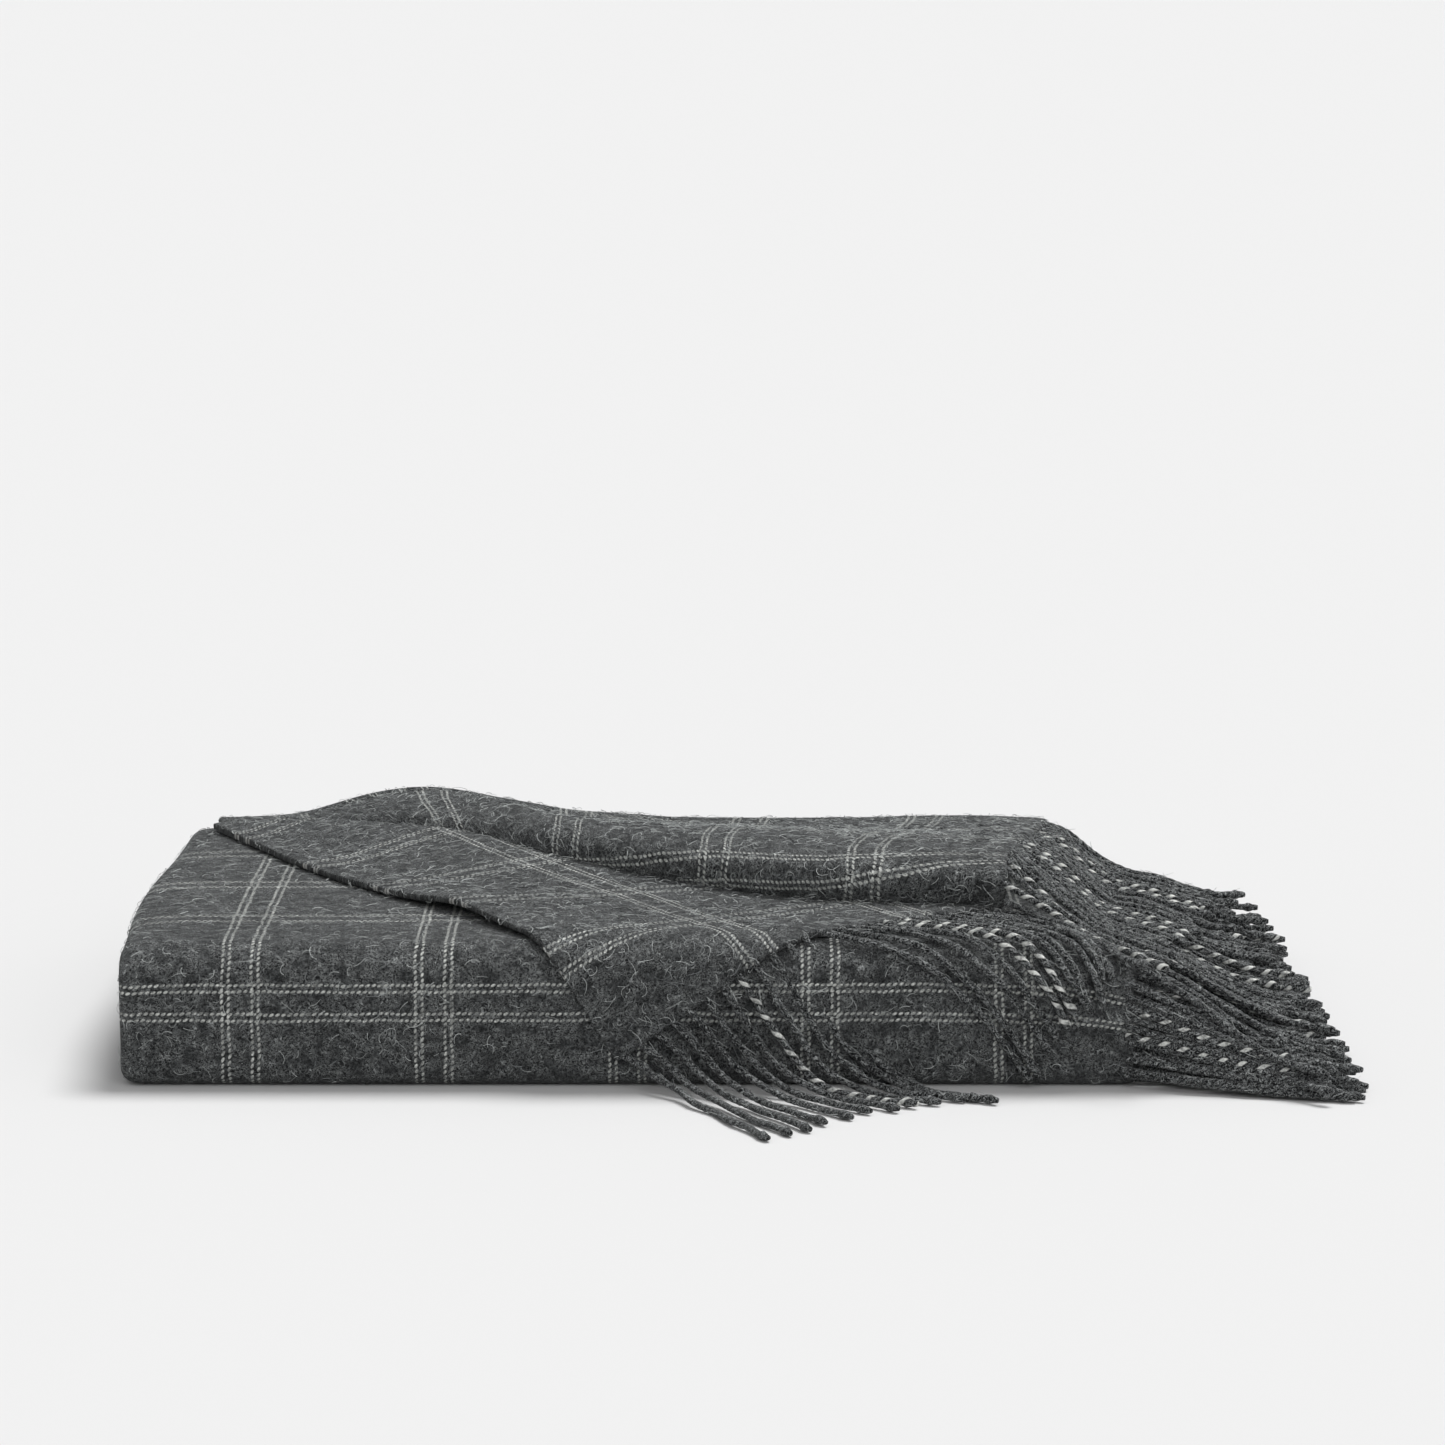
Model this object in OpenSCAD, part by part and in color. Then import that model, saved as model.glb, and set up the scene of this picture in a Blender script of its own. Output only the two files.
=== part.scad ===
// Folded throw blanket: a woven throw folded into a stack of eight U-shaped plies,
// with its last quarter laid loosely over the top and twisted fringes at both ends.
// Millimetres, +Z up. The origin is the centre of the stack's underside.
// +X runs to the fringed end, -Y faces the viewer.

/* [Stack] */
// Length of the folded stack
stack_length = 444; // [300:1:600]
// Depth of the folded stack, front crease to back
stack_depth = 317; // [200:1:450]
// Height of the folded stack
stack_height = 63; // [30:1:120]
// Radius of the front crease at the top
front_top_radius = 18; // [6:1:30]
// Radius of the front crease at the bottom
front_bottom_radius = 6; // [2:1:15]
// Radius of the ends of the stack where the cloth turns over
end_top_radius = 14; // [4:1:30]
// Air between neighbouring plies
ply_gap = 0.2; // [0.05:0.05:0.5]

/* [Cloth] */
// Thickness of the loose top sheet
sheet_thickness = 3.4; // [2:0.1:6]
// Air between the loose sheet and the stack
sheet_clearance = 0.9; // [0.4:0.1:3]

/* [Fringe] */
// Diameter of one twisted strand
strand_diameter = 2.8; // [1.5:0.1:5]
// Free length of a strand beyond the cloth, right-hand end
strand_reach = 96; // [50:1:130]
// Strands in each row at the right-hand end
strands_per_row = 33; // [10:1:45]
// Strands along the front part of the loose end
front_strands = 24; // [8:1:30]
// Strands along the roll's end
roll_strands = 27; // [8:1:34]

/* [Hidden] */
$fn = 48;

ply_count = 8;
layer_pitch = stack_height / (2 * ply_count);
strand_radius = strand_diameter / 2;
front_y = -stack_depth / 2;
back_y = stack_depth / 2;
right_x = stack_length / 2;
overlap = 1;
least_top_radius = 1.6;
least_bottom_radius = 1.2;
header_width = 1.6;
rest_z = strand_radius + 0.3;

// ---------- colours ----------
wool = [0.26, 0.27, 0.28];
wool_light = [0.36, 0.37, 0.38];
yarn = [0.32, 0.33, 0.34];

// ---------- stack ----------
// Section of the stack shrunk by d all round, front corners rounded, open end squared at the back.
module stack_section(d) {
  w = stack_depth - d;
  h = stack_height - 2 * d;
  rt = max(front_top_radius - d, least_top_radius);
  rb = max(front_bottom_radius - d, least_bottom_radius);
  translate([front_y + d, d]) difference() {
    square([w, h]);
    translate([0, h - rt]) difference() {
      translate([-overlap, 0]) square([rt + overlap, rt + overlap]);
      translate([rt, 0]) circle(r = rt);
    }
    translate([0, 0]) difference() {
      translate([-overlap, -overlap]) square([rb + overlap, rb + overlap]);
      translate([rb, rb]) circle(r = rb);
    }
  }
}

// Side outline of the stack: the cloth turns over at each end, so the top corners are rounded.
module end_outline() {
  difference() {
    translate([-right_x, 0]) square([stack_length, stack_height]);
    for (s = [-1, 1]) translate([s * (right_x - end_top_radius), stack_height - end_top_radius])
      difference() {
        translate([s > 0 ? 0 : -end_top_radius - overlap, 0])
          square([end_top_radius + overlap, end_top_radius + overlap]);
        circle(r = end_top_radius);
      }
  }
}

// Ply k: a U of cloth wrapped round the ply inside it.
module ply(k) {
  outer = k * layer_pitch + ply_gap / 2;
  inner = (k + 1) * layer_pitch - ply_gap / 2;
  intersection() {
    translate([-right_x, 0, 0]) rotate([90, 0, 90])
      linear_extrude(height = stack_length) difference() {
        stack_section(k == 0 ? 0 : outer);
        if (k < ply_count - 1) stack_section_inner(inner);
        else last_slit(inner);
      }
    translate([0, stack_depth, 0]) rotate([90, 0, 0])
      linear_extrude(height = 2 * stack_depth) end_outline();
  }
}

// The hollow inside a ply runs out through the open back.
module stack_section_inner(d) {
  stack_section(d);
  translate([back_y - 2 * overlap, d]) square([4 * overlap, stack_height - 2 * d]);
}

// The innermost ply is folded flat on itself, with only a slit between its two layers.
module last_slit(d) {
  translate([front_y + d, stack_height / 2 - ply_gap / 2])
    square([stack_depth, ply_gap]);
}

// ---------- strands ----------
module rod(a, b, r) {
  d = b - a;
  len = norm(d);
  translate(a) rotate([0, acos(d[2] / len), atan2(d[1], d[0])])
    cylinder(h = len, r = r, $fn = 16);
}

// A straight strand with a slightly thicker knotted tip.
module straight_strand(a, b) {
  rod(a, b, strand_radius);
  translate(b) sphere(r = strand_radius + 0.25, $fn = 16);
}

function unit(v) = v / norm(v);
tube_sides = 6;

// A bent strand: a tube swept through a list of points, a little thicker at its last point.
module strand(p, r, tip) {
  n = len(p);
  points = [for (i = [0:n - 1])
    let (t = unit(p[min(i + 1, n - 1)] - p[max(i - 1, 0)]),
         u = unit(cross(t, [-t[1], t[0], 0.3])), w = cross(t, u), q = i == n - 1 ? tip : r)
    for (k = [0:tube_sides - 1]) let (a = 360 * k / tube_sides)
      p[i] + q * (u * cos(a) + w * sin(a))];
  sides = [for (i = [0:n - 2]) for (k = [0:tube_sides - 1])
    let (e = i * tube_sides, m = (k + 1) % tube_sides)
    each [[e + k, e + tube_sides + k, e + m], [e + m, e + tube_sides + k, e + tube_sides + m]]];
  start = [[for (k = [0:tube_sides - 1]) k]];
  finish = [[for (k = [tube_sides - 1:-1:0]) (n - 1) * tube_sides + k]];
  polyhedron(points = points, faces = concat(sides, start, finish));
}

// Row j of the right-hand end: leaves its layer and sinks towards the table as it fans out.
row_layer = [0, 1, 6, 7, 8, 9, 14, 15];
row_tip_z = [2.2, 6.0, 9.8, 13.6, 17.4, 21.2, 25.0, 28.8];
row_tip_x = [6, 2, -2, -6, -11, -15, -19, -23];
row_tip_y = [-10, -4, -8, -2, -9, -3, -7, -1];

// The outermost ply's edge also runs up the front wall, so strands leave it there as well.
wall_strands = 5;
module wall_fringe(x0) {
  z0 = 12;
  pitch = 8.6;
  y = front_y + 1.8;
  translate([right_x + 0.15, y - header_width / 2, z0 - 2])
    cube([header_width + 1, header_width, stack_height - z0 - 4]);
  translate([right_x + 0.15, y - header_width / 2, stack_height - 7.8])
    cube([header_width + 1, 6, header_width]);
  for (i = [0:wall_strands - 1]) {
    z = z0 + i * pitch;
    straight_strand([x0, y, z], [right_x + strand_reach - 14 - 2 * i, front_y - 19 + i, 4 + 5 * i]);
  }
}

module end_fringe(j) {
  z = (row_layer[j] + 0.5) * layer_pitch;
  zs = max(min(z, stack_height - end_top_radius / 2 - 1), rest_z);
  x0 = right_x + strand_radius + 0.15;
  pitch = (stack_depth - 12) / (strands_per_row - 1);
  start_z = j == 0 ? rest_z : j == 7 ? zs + 1 : j == 6 ? zs - 2.9 : z;
  translate([right_x + 0.15, front_y + 5, start_z - header_width / 2])
    cube([header_width + 1, stack_depth - 10, header_width]);
  if (j == 7) wall_fringe(x0);
  for (i = [0:strands_per_row - 1]) {
    y = front_y + 6 + i * pitch;
    straight_strand([x0, y, start_z],
      [right_x + strand_reach + row_tip_x[j], y + row_tip_y[j], row_tip_z[j]]);
  }
}

// ---------- loose top sheet ----------
// Every curve below is a list of [distance from the fringed edge, value].
selvedge_x = [[0, -6], [56, -33], [82, -48.5], [140, -78.5], [224, -116], [308, -153],
              [392, -191.5], [425, -209]];
selvedge_s = [[0, -206.5], [56, -163], [82, -139.5], [140, -88], [224, -38], [308, 22],
              [392, 101.5], [425, 140]];
foot_x = [[0, 166], [56, 102], [140, 36], [224, -32], [308, -86], [392, -165], [425, -206]];
foot_s = [[0, -83.5], [56, -74.5], [140, -44], [224, 6], [308, 62], [392, 128], [425, 144]];
foot_lift = [[0, 0], [56, 0], [140, 1.5], [224, 6], [308, 10], [392, 4], [425, 0]];
back_x = [[0, 200], [56, 140], [140, 54], [224, -32], [308, -112], [392, -176], [425, -208]];
rise_width = [[0, 6], [56, 6], [140, 8], [224, 17], [308, 56], [392, 14], [425, 2]];
crest_z = [[0, 85], [56, 86], [140, 86], [224, 86], [308, 85.5], [392, 68], [425, 66]];
back_z = [[0, 67], [56, 66], [140, 66.2], [224, 69.5], [308, 81], [392, 66.5], [425, 65.8]];

sheet_off = sheet_clearance + sheet_thickness / 2;
tangent_s = front_y + front_top_radius;
edge_z = stack_height - front_top_radius;
back_stop = back_y - 3;

// Smooth curve through a list of [position, value].
function seg(t, v, i = 0) = i >= len(t) - 2 || v < t[i + 1][0] ? i : seg(t, v, i + 1);
function slope(t, i) =
  let (a = max(i - 1, 0), b = min(i + 1, len(t) - 1))
  (t[b][1] - t[a][1]) / (t[b][0] - t[a][0]);
function curve(t, v) =
  let (i = seg(t, v), h = t[i + 1][0] - t[i][0], w = (v - t[i][0]) / h)
  t[i][1] * (2 * w * w * w - 3 * w * w + 1) + h * slope(t, i) * (w * w * w - 2 * w * w + w)
  + t[i + 1][1] * (3 * w * w - 2 * w * w * w) + h * slope(t, i + 1) * (w * w * w - w * w);

// A point lying on the stack: over the top, round the front crease and down the front.
function wrap(x, s, off) =
  let (r = front_top_radius + off, a = (tangent_s - s) / (front_top_radius + sheet_off) * 180 / PI)
  s >= tangent_s ? [x, s, stack_height + off]
  : a <= 90 ? [x, tangent_s - r * sin(a), edge_z + r * cos(a)]
  : [x, front_y - off, edge_z - (a - 90) * PI / 180 * (front_top_radius + sheet_off)];

function ease(a, b, x) = let (t = min(1, max(0, (x - a) / (b - a)))) t * t * (3 - 2 * t);

// The flap lies on the stack and lifts a little towards the valley.
function flap(v, a) =
  wrap(curve(selvedge_x, v) * (1 - a) + curve(foot_x, v) * a,
       curve(selvedge_s, v) * (1 - a) + curve(foot_s, v) * a,
       sheet_off + curve(foot_lift, v) * ease(0.15, 1, a));

// Rise from the valley: nearly upright at the right, a long slope at the left.
function rise(v, q) =
  let (w = curve(rise_width, v), z0 = stack_height + sheet_off + curve(foot_lift, v),
       y0 = curve(foot_s, v), x0 = curve(foot_x, v))
  [x0 + (curve(back_x, v) - x0) * q * w / (back_stop - y0), y0 + w * (0.12 * q + 0.88 * q * q),
   z0 + (curve(crest_z, v) - z0) * sin(90 * q)];

// From the crest to the stack's back edge, then down onto it.
function rear(v, q) =
  let (c = rise(v, 1), zb = curve(back_z, v), y1 = back_stop - 8 * min(1, (back_stop - c[1]) / 60))
  [c[0] + (curve(back_x, v) - c[0]) * q, c[1] + (y1 - c[1]) * q,
   c[2] + (zb - c[2]) * (q * q * (3 - 2 * q))];
function drop(v, q) =
  let (c = rear(v, 1), z0 = stack_height + sheet_off)
  [c[0], c[1] + (back_stop - c[1]) * sin(90 * q), z0 + (c[2] - z0) * cos(90 * q)];

flap_steps = 18;
rise_steps = 5;
rear_steps = 6;
drop_steps = 3;
v_lines = [for (v = [0:6:90]) v, for (v = [108:18:414]) v, 425];

function line(v) = concat(
  [for (i = [0:flap_steps]) flap(v, i / flap_steps)],
  [for (i = [1:rise_steps]) rise(v, i / rise_steps)],
  [for (i = [1:rear_steps]) rear(v, i / rear_steps)],
  [for (i = [1:drop_steps]) drop(v, i / drop_steps)]);

mid = [for (v = v_lines) line(v)];
rows = len(v_lines);
cols = flap_steps + rise_steps + rear_steps + drop_steps + 1;

function normal(j, i) =
  let (a = mid[j][min(i + 1, cols - 1)] - mid[j][max(i - 1, 0)],
       b = mid[min(j + 1, rows - 1)][i] - mid[max(j - 1, 0)][i])
  unit(cross(a, b));

module top_sheet() {
  t = sheet_thickness / 2;
  upper = [for (j = [0:rows - 1]) for (i = [0:cols - 1]) mid[j][i] + t * normal(j, i)];
  lower = [for (j = [0:rows - 1]) for (i = [0:cols - 1]) mid[j][i] - t * normal(j, i)];
  m = rows * cols;
  skin = [for (j = [0:rows - 2]) for (i = [0:cols - 2]) let (p = j * cols + i)
    each [[p, p + cols, p + 1], [p + 1, p + cols, p + cols + 1],
          [m + p, m + p + 1, m + p + cols], [m + p + 1, m + p + cols + 1, m + p + cols]]];
  sides = [for (j = [0:rows - 2]) let (p = j * cols, q = j * cols + cols - 1)
    each [[p, m + p, p + cols], [p + cols, m + p, m + p + cols],
          [q, q + cols, m + q], [q + cols, m + q + cols, m + q]]];
  ends = [for (i = [0:cols - 2]) let (q = (rows - 1) * cols + i)
    each [[i, i + 1, m + i], [i + 1, m + i + 1, m + i],
          [q, m + q, q + 1], [q + 1, m + q, m + q + 1]]];
  polyhedron(points = concat(upper, lower), faces = concat(skin, sides, ends));
}

// ---------- fringe of the loose end ----------
front_on_table = 12;
root_gap = strand_radius + 0.2;

function edge_root(p, q) = p - root_gap * unit(q - p);
function front_root(k) =
  let (a = (k + 0.5) / front_strands) edge_root(flap(0, a), flap(6, a));

// Distance along the wrapped surface of the root of front strand k.
function root_s(k) =
  let (a = (k + 0.5) / front_strands) curve(selvedge_s, 0) * (1 - a) + curve(foot_s, 0) * a - 1.6;
function face_s(z) = tangent_s - (front_top_radius + sheet_off) * PI / 2 - (edge_z - z);
strand_off = sheet_off + 0.8;

// Strands that hang in front of the stack and lie out on the table.
function hung(k) =
  let (p = front_root(k), f = k / (front_on_table - 1), tx = 58 + 103 * f, ty = -264 + 84 * f,
       dx = tx - p[0], yb = front_y - strand_off, dy = ty - yb, dz = p[2] - rest_z,
       s0 = root_s(k), s1 = face_s(rest_z + 0.42 * dz), n = 6)
  [p, for (i = [1:n]) wrap(p[0] + 0.28 * dx * i / n, s0 + (s1 - s0) * i / n, strand_off),
   [p[0] + 0.52 * dx, yb + 0.34 * dy, rest_z + 0.08 * dz], [tx, ty, rest_z]];

// Strands that cross the top and fall over the front crease.
function draped(k) =
  let (p = front_root(k), f = (k - front_on_table) / (front_strands - 1 - front_on_table),
       s0 = root_s(k), x1 = 176 + 38 * f, s1 = -208 + 52 * f, n = 14)
  [p, for (i = [1:n]) let (q = i / n)
    wrap(p[0] + (x1 - p[0]) * q, s0 + (s1 - s0) * q, strand_off)];

module front_fringe() {
  for (k = [0:front_strands - 1])
    strand(k < front_on_table ? hung(k) : draped(k), strand_radius, strand_radius + 0.15);
  strand([for (k = [0:front_strands - 1]) front_root(k)], header_width / 2, header_width / 2);
}

// Edge of the sheet beyond the valley: up the roll, over its crest and to the back.
function roll_edge(v, a) = a < 0.12 ? rise(v, a / 0.12) : rear(v, (a - 0.12) / 0.88);
function roll_root(k) =
  let (a = (k + 0.4) / roll_strands) edge_root(roll_edge(0, a), roll_edge(6, a));

module roll_fringe() {
  for (k = [0:roll_strands - 1]) {
    p = roll_root(k);
    y = front_y + 62 + k * 9.2;
    strand([p, [max(right_x - 17, p[0] + 9), y + 1, stack_height + 4],
            [right_x + 14, y - 2, stack_height - 1], [right_x + 42, y - 6, stack_height - 13]],
           strand_radius, strand_radius + 0.15);
  }
  strand([for (k = [0:roll_strands - 1]) roll_root(k)], header_width / 2, header_width / 2);
}

// ---------- nodes ----------
module ply_1() { color(wool_light) ply(0); }
module ply_2() { color(wool) ply(1); }
module ply_3() { color(wool_light) ply(2); }
module ply_4() { color(wool) ply(3); }
module ply_5() { color(wool_light) ply(4); }
module ply_6() { color(wool) ply(5); }
module ply_7() { color(wool_light) ply(6); }
module ply_8() { color(wool) ply(7); }
module end_fringe_1() { color(yarn) end_fringe(0); }
module end_fringe_2() { color(yarn) end_fringe(1); }
module end_fringe_3() { color(yarn) end_fringe(2); }
module end_fringe_4() { color(yarn) end_fringe(3); }
module end_fringe_5() { color(yarn) end_fringe(4); }
module end_fringe_6() { color(yarn) end_fringe(5); }
module end_fringe_7() { color(yarn) end_fringe(6); }
module end_fringe_8() { color(yarn) end_fringe(7); }
module top_sheet_part() { color(wool_light) top_sheet(); }
module front_fringe_part() { color(yarn) front_fringe(); }
module roll_fringe_part() { color(yarn) roll_fringe(); }

ply_1();
ply_2();
ply_3();
ply_4();
ply_5();
ply_6();
ply_7();
ply_8();
end_fringe_1();
end_fringe_2();
end_fringe_3();
end_fringe_4();
end_fringe_5();
end_fringe_6();
end_fringe_7();
end_fringe_8();
top_sheet_part();  // top_sheet
front_fringe_part();  // front_fringe
roll_fringe_part();  // roll_fringe
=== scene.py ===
import math
import random
import bpy
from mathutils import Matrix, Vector, noise
from mathutils.bvhtree import BVHTree


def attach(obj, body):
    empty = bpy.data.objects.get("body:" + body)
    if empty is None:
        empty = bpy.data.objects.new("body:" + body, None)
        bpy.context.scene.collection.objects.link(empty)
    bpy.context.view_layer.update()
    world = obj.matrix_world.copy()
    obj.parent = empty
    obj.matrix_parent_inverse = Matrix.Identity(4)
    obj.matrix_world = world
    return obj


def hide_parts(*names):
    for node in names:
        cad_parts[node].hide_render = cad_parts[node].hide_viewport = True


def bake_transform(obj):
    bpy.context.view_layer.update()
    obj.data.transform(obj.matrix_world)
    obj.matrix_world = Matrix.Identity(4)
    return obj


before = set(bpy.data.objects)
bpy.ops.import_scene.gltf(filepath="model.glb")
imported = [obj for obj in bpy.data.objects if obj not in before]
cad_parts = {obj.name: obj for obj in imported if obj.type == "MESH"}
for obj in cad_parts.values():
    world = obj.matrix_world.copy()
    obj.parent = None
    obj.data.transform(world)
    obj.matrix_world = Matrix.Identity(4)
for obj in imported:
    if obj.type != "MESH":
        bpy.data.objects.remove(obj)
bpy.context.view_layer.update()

# ------------------------------------------------------------------ camera, floor, light
CAMERA_PLACE = (0.040, -2.3735, 0.4896)
CAMERA_TILT = math.radians(81.55)
CAMERA_LENS = 129.55
SENSOR_WIDTH = 36
FAR_CLIP = 300
camera_data = bpy.data.cameras.new("camera")
camera_data.lens = CAMERA_LENS
camera_data.sensor_width = SENSOR_WIDTH
camera_data.clip_end = FAR_CLIP
camera = bpy.data.objects.new("camera", camera_data)
camera.location = CAMERA_PLACE
camera.rotation_euler = (CAMERA_TILT, 0, 0)
bpy.context.scene.collection.objects.link(camera)
bpy.context.scene.camera = camera


def sun(name, towards, strength, degrees):
    """A soft sun that shines towards a direction; degrees is how wide it looks."""
    data = bpy.data.lights.new(name, "SUN")
    data.energy = strength
    data.angle = math.radians(degrees)
    ob = bpy.data.objects.new(name, data)
    ob.rotation_euler = Vector(towards).to_track_quat("-Z", "Y").to_euler()
    bpy.context.scene.collection.objects.link(ob)


sun("key_light", towards=(-0.30, -0.36, -1.0), strength=2.42, degrees=28)
sun("fill_light", towards=(-0.15, 0.9, -0.45), strength=0.85, degrees=60)
WORLD_STRENGTH = 0.31
world = bpy.data.worlds.new("studio")
bpy.context.scene.world = world
world.use_nodes = True
world.node_tree.nodes["Background"].inputs["Color"].default_value = (1, 1, 1, 1)
world.node_tree.nodes["Background"].inputs["Strength"].default_value = WORLD_STRENGTH
bpy.context.scene.view_settings.view_transform = "Standard"
bpy.context.scene.view_settings.look = "None"


# ------------------------------------------------------------------ node helpers
class Graph:
    """A material's node tree, with short names for the nodes that this script uses."""

    def __init__(self, name):
        self.mat = bpy.data.materials.new(name)
        self.mat.use_nodes = True
        self.nt = self.mat.node_tree
        self.bsdf = self.nt.nodes["Principled BSDF"]

    def put(self, socket, value):
        if isinstance(value, bpy.types.NodeSocket):
            self.nt.links.new(value, socket)
        else:
            socket.default_value = value

    def math(self, op, a, b=None, c=None):
        n = self.nt.nodes.new("ShaderNodeMath")
        n.operation = op
        for i, x in enumerate((a, b, c)):
            if x is not None:
                self.put(n.inputs[i], x)
        return n.outputs[0]

    def span(self, x, a, b, c=0.0, d=1.0):
        """Smoothly maps a..b to c..d."""
        n = self.nt.nodes.new("ShaderNodeMapRange")
        n.interpolation_type = "SMOOTHSTEP"
        for i, v in enumerate((x, a, b, c, d)):
            self.put(n.inputs[i], v)
        return n.outputs[0]

    def mix(self, f, a, b):
        n = self.nt.nodes.new("ShaderNodeMix")
        n.data_type = "RGBA"
        self.put(n.inputs["Factor"], f)
        self.put(n.inputs[6], a)
        self.put(n.inputs[7], b)
        return n.outputs[2]

    def noise(self, vec, scale, detail=2.0, rough=0.5, warp=0.0):
        n = self.nt.nodes.new("ShaderNodeTexNoise")
        self.put(n.inputs["Vector"], vec)
        self.put(n.inputs["Scale"], scale)
        self.put(n.inputs["Detail"], detail)
        self.put(n.inputs["Roughness"], rough)
        self.put(n.inputs["Distortion"], warp)
        return n.outputs["Fac"]

    def shift(self, vec, off, scale=(1, 1, 1)):
        n = self.nt.nodes.new("ShaderNodeMapping")
        self.put(n.inputs["Vector"], vec)
        n.inputs["Location"].default_value = off
        n.inputs["Scale"].default_value = scale
        return n.outputs[0]

    def uv(self):
        """The mesh's UVMap, as a vector."""
        n = self.nt.nodes.new("ShaderNodeUVMap")
        n.uv_map = "UVMap"
        return n.outputs[0]

    def split(self, vec):
        """The X, Y and Z of a vector."""
        n = self.nt.nodes.new("ShaderNodeSeparateXYZ")
        self.nt.links.new(vec, n.inputs[0])
        return n.outputs

    def curls(self, vec, scale, off, thin, warp):
        """Thin curly lines, where a warped noise passes through its middle."""
        n = self.noise(self.shift(vec, off), scale, 1.5, 0.55, warp)
        return self.span(self.math("ABSOLUTE", self.math("SUBTRACT", n, 0.5)), thin, 0.0)

    def bump(self, height, strength, distance):
        n = self.nt.nodes.new("ShaderNodeBump")
        n.inputs["Strength"].default_value = strength
        n.inputs["Distance"].default_value = distance
        self.nt.links.new(height, n.inputs["Height"])
        self.nt.links.new(n.outputs[0], self.bsdf.inputs["Normal"])

    def soft(self, sheen, tint):
        """Matt, faintly sheeny fibre finish."""
        b = self.bsdf.inputs
        b["Roughness"].default_value = 0.95
        b["Specular IOR Level"].default_value = 0.12
        b["Sheen Weight"].default_value = sheen
        b["Sheen Roughness"].default_value = 0.45
        b["Sheen Tint"].default_value = tint


# sizes of the check in metres: its repeat, half the gap in a pair of lines, half the gap in a double row
CHECK = 0.084
HALF_PAIR = 0.0064
HALF_ROWS = 0.00145
GRAIN_PITCH = 0.0026
GRAIN_LENGTH = 0.00114
GRAIN_WIDTH = 0.00062
GRAIN_SLANT = math.radians(25)
DARK = (0.007, 0.0076, 0.0082, 1)
MID = (0.044, 0.0468, 0.0480, 1)
PALE = (0.170, 0.179, 0.182, 1)
FIBRE = (0.560, 0.585, 0.585, 1)
CREAM = (0.86, 0.88, 0.84, 1)
RIM_CREAM = (1.15, 1.15, 1.10, 1)  # over 1 because the shade of the rim darkens it
LIGHT_PLY = (0.95, 0.96, 0.92, 1)
# painted shade for the groove between the two plies of the yarn
YARN_GROOVE_PAINTED_SHADE = (0.006, 0.006, 0.007, 1)
SHEEN_TINT = (0.75, 0.77, 0.77, 1)


def grain_rows(g, across, along):
    """Woven stripe: two lines of slanted grains every CHECK along 'across', each line a double row."""
    t = g.math("WRAP", across, CHECK / 2, -CHECK / 2)
    q = g.math("SUBTRACT", t, g.math("MULTIPLY", g.math("SIGN", t), HALF_PAIR))
    side = g.math("SIGN", q)
    y = g.math("SUBTRACT", q, g.math("MULTIPLY", side, HALF_ROWS))
    b = g.math("MULTIPLY_ADD", side, GRAIN_PITCH / 4, along)
    b = g.math("WRAP", b, GRAIN_PITCH / 2, -GRAIN_PITCH / 2)
    c, s = math.cos(GRAIN_SLANT), math.sin(GRAIN_SLANT)
    u = g.math("MULTIPLY_ADD", b, c / GRAIN_LENGTH, g.math("MULTIPLY", y, s / GRAIN_LENGTH))
    v = g.math("MULTIPLY_ADD", b, -s / GRAIN_WIDTH, g.math("MULTIPLY", y, c / GRAIN_WIDTH))
    d = g.math("SQRT", g.math("MULTIPLY_ADD", u, u, g.math("MULTIPLY", v, v)))
    return g.span(d, 1.20, 0.72)


def rim_band(g, across):
    """Where the weft stripes turn round the cut edge of the cloth: two bright bands."""
    t = g.math("ABSOLUTE", g.math("WRAP", across, CHECK / 2, -CHECK / 2))
    line = g.math("ABSOLUTE", g.math("SUBTRACT", t, HALF_PAIR))
    row = g.math("ABSOLUTE", g.math("SUBTRACT", line, HALF_ROWS))
    return g.span(row, 0.0014, 0.0008)


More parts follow.
